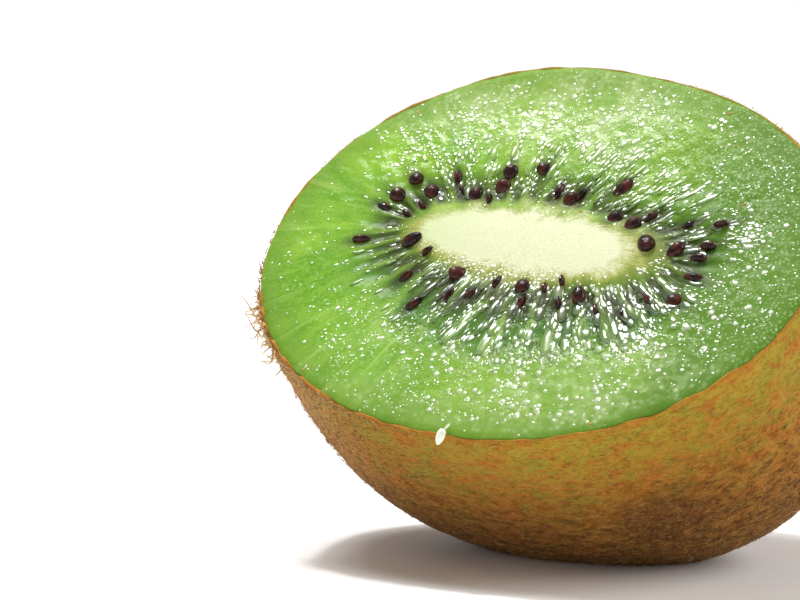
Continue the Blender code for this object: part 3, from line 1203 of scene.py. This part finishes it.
def drop_places(rng, turn, share, wide):
    """The turn and share of each point of each drop, and how far each drop reaches uphill. Drops
    near the seeds are drawn out along the spokes."""
    place = face_place(turn, share)
    spoke = (face_place(turn, share + NUDGE) - place) / NUDGE
    across = (face_place(turn + NUDGE, share) - place) / NUDGE
    spoke_length = np.linalg.norm(spoke, axis=1)
    across_length = np.linalg.norm(across, axis=1)
    count = len(turn)
    drawn = 1.0 + near_seeds(share) * rng.uniform(0.0, 4.0, count) * rng.uniform(0.2, 1.0, count)
    uphill = wide * np.hypot(drawn * spoke[:, 1] / spoke_length, across[:, 1] / across_length)
    radius, angle, _ = drop_form()
    point_share = share[:, None] + radius * np.cos(angle) * (wide * drawn / spoke_length)[:, None]
    point_turn = turn[:, None] + radius * np.sin(angle) * (wide / across_length)[:, None]
    return point_turn, point_share, uphill


def make_juice(material):
    """Drops of juice that stand on the cut and sag a little."""
    rng = np.random.default_rng(61)
    turn, share, wide = scattered_drops(rng)
    count = len(turn)
    ring, steep = near_seeds(share), gleam(turn, share)
    point_turn, point_share, uphill = drop_places(rng, turn, share, wide)
    high = (uphill * (rng.uniform(*DROP_STEEPNESS, count) + 0.03 * ring) * steep)[:, None]
    _, _, rise = drop_form()
    points = face_point(point_turn, point_share)
    points[..., :2] += rise[:, None] * (uphill[:, None, None] * np.array(DROP_SAG))
    points[..., 2] += rise * high
    points[:, -1, 2] -= DROP_ROOT
    # Some drops are painted pale: partly pulp, partly a painted highlight, brightest in a ring round the top.
    pale = np.maximum(0.6 * pale_grain_and_glint(turn, share), rng.uniform(0.0, 0.8, count))
    pale *= (1.0 - ring) * (0.6 + 0.4 * steep)
    tone = pale[:, None] * np.repeat((0.4, 1.0, 0.2), (1, DROP_SIDES, DROP_SIDES + 1))
    marks = {**face_marks(point_turn.ravel(), point_share.ravel()), "tone": tone.ravel()}
    _, pattern = closed_by_rings([np.zeros((DROP_SIDES, 3))] * 2, np.zeros(3), np.zeros(3))
    faces = repeated(len(rise), pattern, count)
    juice = make_piece("juice_beads", points.reshape(-1, 3), faces, material, marks)


# ---- stage ----

CAMERA_PLACE = Vector((0.09805, -0.20031, 0.03542))
CAMERA_AZIMUTH = math.radians(30.05)
CAMERA_PITCH = math.radians(-3.304)
LENS_MM = 111.54
SENSOR_MM = 36.0
# Each lamp: the way towards it, its strength, and how wide it looks in degrees.
LAMPS = {
    "lamp": ((-0.33, 0.14, 0.93), 1.5, 4.0),
    "soft_box": ((-0.33, 0.14, 0.93), 2.5, 28.0),
    "window": ((0.75, 0.45, 0.50), 2.4, 45.0),
}
LOW_SKY = (1.05, 1.05, 1.05)
HIGH_SKY = (0.29, 0.27, 0.255)
SKY_FADES = (0.12, 0.4)  # where the low sky ends and the high one begins, as sines of height
FLOOR_HALF = 6.0
FLOOR_GREYS = ((0.84, 0.84, 0.84), (0.88, 0.88, 0.88))


def make_camera():
    data = bpy.data.cameras.new("camera")
    data.sensor_width = SENSOR_MM
    data.lens = LENS_MM
    data.clip_start = 0.01
    data.clip_end = 50.0
    camera = in_scene("camera", data)
    camera.location = CAMERA_PLACE
    camera.rotation_euler = (math.pi / 2.0 + CAMERA_PITCH, 0.0, CAMERA_AZIMUTH)
    bpy.context.scene.camera = camera


def make_lamps():
    for name, (way, strength, width) in LAMPS.items():
        data = bpy.data.lights.new(name, "SUN")
        data.energy = strength
        data.angle = math.radians(width)
        lamp = in_scene(name, data)
        lamp.rotation_mode = "QUATERNION"
        lamp.rotation_quaternion = Vector(way).to_track_quat("Z", "Y")


def make_sky():
    """White near the horizon and dimmer overhead."""
    sky = Look("sky", "worlds", "Background")
    way = sky.node("ShaderNodeTexCoord", {}).outputs["Generated"]
    height = sky.node("ShaderNodeSeparateXYZ", {0: way}).outputs["Z"]
    low, high = SKY_FADES
    share = sky.node("ShaderNodeMapRange", {"Value": height, "From Min": low, "From Max": high}).outputs[0]
    sky.set(Color=sky.mix(share, LOW_SKY, HIGH_SKY))
    bpy.context.scene.world = sky.owner


def make_floor():
    look = Look("pale_table")
    place = look.node("ShaderNodeTexCoord", {}).outputs["Object"]
    look.set(Base_Color=look.mix(look.noise(place, 20.0, 3.0), *FLOOR_GREYS), Roughness=0.6)
    data = bpy.data.meshes.new("floor")
    corners = [(-1, -1), (1, -1), (1, 1), (-1, 1)]
    data.from_pydata([(x * FLOOR_HALF, y * FLOOR_HALF, -TABLE_GAP) for x, y in corners], [], [(0, 1, 2, 3)])
    data.materials.append(look.owner)
    floor = in_scene("floor", data)


bpy.context.scene.view_settings.view_transform = "Standard"
hair_material = hair_look()
make_flesh(flesh_look())
make_skin(skin_look())
make_fuzz(hair_material)
make_rim_hairs(hair_material)
make_crumbs(hair_material)
make_pulp_fleck(pulp_look())
make_seeds(seed_look())
make_juice(juice_look())
make_camera()
make_lamps()
make_sky()
make_floor()
